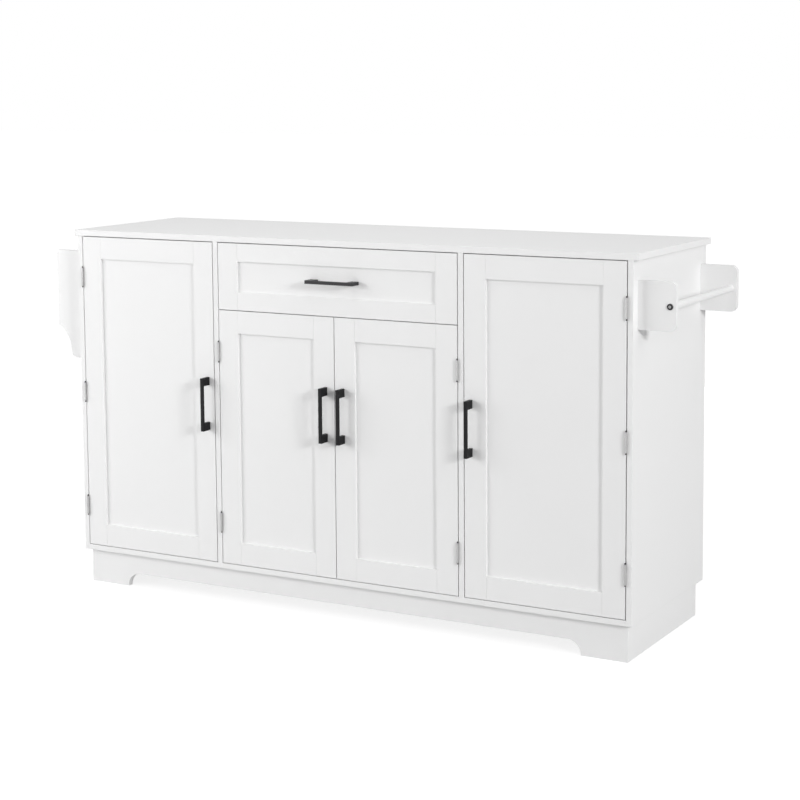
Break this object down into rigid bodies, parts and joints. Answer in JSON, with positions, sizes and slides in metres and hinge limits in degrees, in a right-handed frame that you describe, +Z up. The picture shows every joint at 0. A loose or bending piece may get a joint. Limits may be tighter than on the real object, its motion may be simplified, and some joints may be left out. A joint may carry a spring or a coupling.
{
  "type": "buffet cabinet",
  "caption": "White buffet cabinet with tall side cupboards, a drawer above a double-door cupboard, framed fronts, bar pulls, an arched plinth, a towel rail and a spice rack.",
  "frame": {"origin": "centre of the overall box, on the floor that the plinth stands on", "axes": "+X along the worktop to the right seen from the front, +Y from the doors to the back, +Z up"},
  "size_m": [1.697, 0.48, 0.914],
  "materials": {
    "white_board": "white satin painted fibreboard",
    "backing_board": "thin white-faced fibreboard",
    "black_metal": "matt black powder coat",
    "bright_steel": "bright zinc-plated steel",
    "white_plastic": "white moulded plastic"
  },
  "bodies": {
    "cabinet": {"worktop": "white_board", "left_side_panel": "white_board", "right_side_panel": "white_board", "left_divider": "white_board", "right_divider": "white_board", "bottom_panel": "white_board", "back_panels": "backing_board", "drawer_stretchers": "white_board", "plinth_front": "white_board", "plinth_ends": "white_board", "plinth_back": "white_board", "plinth_braces": "backing_board", "side_bay_shelves": "white_board", "centre_shelf": "white_board", "shelf_pins": "bright_steel", "magnetic_catches": "white_plastic", "frame_hinge_leaves": "bright_steel", "hinge_pins": "bright_steel", "slide_cabinet_members": "bright_steel", "towel_bracket_front": "white_board", "towel_bracket_rear": "white_board", "towel_rod": "white_board", "towel_rod_bolts": "black_metal", "spice_end_front": "white_board", "spice_end_rear": "white_board", "spice_shelves": "white_board", "spice_guard_slats": "white_board", "panel_screws": "bright_steel", "cam_fittings": "bright_steel"},
    "left_door": {"left_door_frame": "white_board", "left_door_panel": "white_board", "left_door_pull": "black_metal", "left_door_hinge_leaves": "bright_steel", "left_door_strike": "bright_steel"},
    "centre_left_door": {"centre_left_door_frame": "white_board", "centre_left_door_panel": "white_board", "centre_left_door_pull": "black_metal", "centre_left_door_hinge_leaves": "bright_steel", "centre_left_door_strike": "bright_steel"},
    "centre_right_door": {"centre_right_door_frame": "white_board", "centre_right_door_panel": "white_board", "centre_right_door_pull": "black_metal", "centre_right_door_hinge_leaves": "bright_steel", "centre_right_door_strike": "bright_steel"},
    "right_door": {"right_door_frame": "white_board", "right_door_panel": "white_board", "right_door_pull": "black_metal", "right_door_hinge_leaves": "bright_steel", "right_door_strike": "bright_steel"},
    "drawer": {"drawer_front_frame": "white_board", "drawer_front_panel": "white_board", "drawer_pull": "black_metal", "drawer_sides": "white_board", "drawer_box_front": "white_board", "drawer_box_back": "white_board", "drawer_bottom": "backing_board", "slide_drawer_members": "bright_steel"},
    "slide_middles": {"slide_middle_members": "bright_steel"},
    "outer_cages": {"outer_ball_cages": "bright_steel"},
    "inner_cages": {"inner_ball_cages": "bright_steel"}
  },
  "joints": [
    {"name": "left_door_hinge", "type": "hinge", "parent": "cabinet", "child": "left_door", "pos_m": [-0.74415, -0.213, 0.499], "axis": [0, 0, -1], "range_deg": [0, 165]},
    {"name": "centre_left_door_hinge", "type": "hinge", "parent": "cabinet", "child": "centre_left_door", "pos_m": [-0.32915, -0.213, 0.4165], "axis": [0, 0, -1], "range_deg": [0, 115]},
    {"name": "centre_right_door_hinge", "type": "hinge", "parent": "cabinet", "child": "centre_right_door", "pos_m": [0.32915, -0.213, 0.4165], "axis": [0, 0, 1], "range_deg": [0, 115]},
    {"name": "right_door_hinge", "type": "hinge", "parent": "cabinet", "child": "right_door", "pos_m": [0.74415, -0.213, 0.499], "axis": [0, 0, 1], "range_deg": [0, 165]},
    {"name": "drawer_slide", "type": "slide", "parent": "cabinet", "child": "drawer", "axis": [0, -1, 0], "range_m": [0, 0.38]},
    {"name": "slide_middle_travel", "type": "slide", "parent": "cabinet", "child": "slide_middles", "axis": [0, -1, 0], "range_m": [0, 0.19]},
    {"name": "outer_cage_travel", "type": "slide", "parent": "cabinet", "child": "outer_cages", "axis": [0, -1, 0], "range_m": [0, 0.095]},
    {"name": "inner_cage_travel", "type": "slide", "parent": "cabinet", "child": "inner_cages", "axis": [0, -1, 0], "range_m": [0, 0.285]}
  ],
  "couplings": [
    {"joint": "slide_middle_travel", "follows": "drawer_slide", "ratio": 0.5},
    {"joint": "outer_cage_travel", "follows": "drawer_slide", "ratio": 0.25},
    {"joint": "inner_cage_travel", "follows": "drawer_slide", "ratio": 0.75}
  ]
}
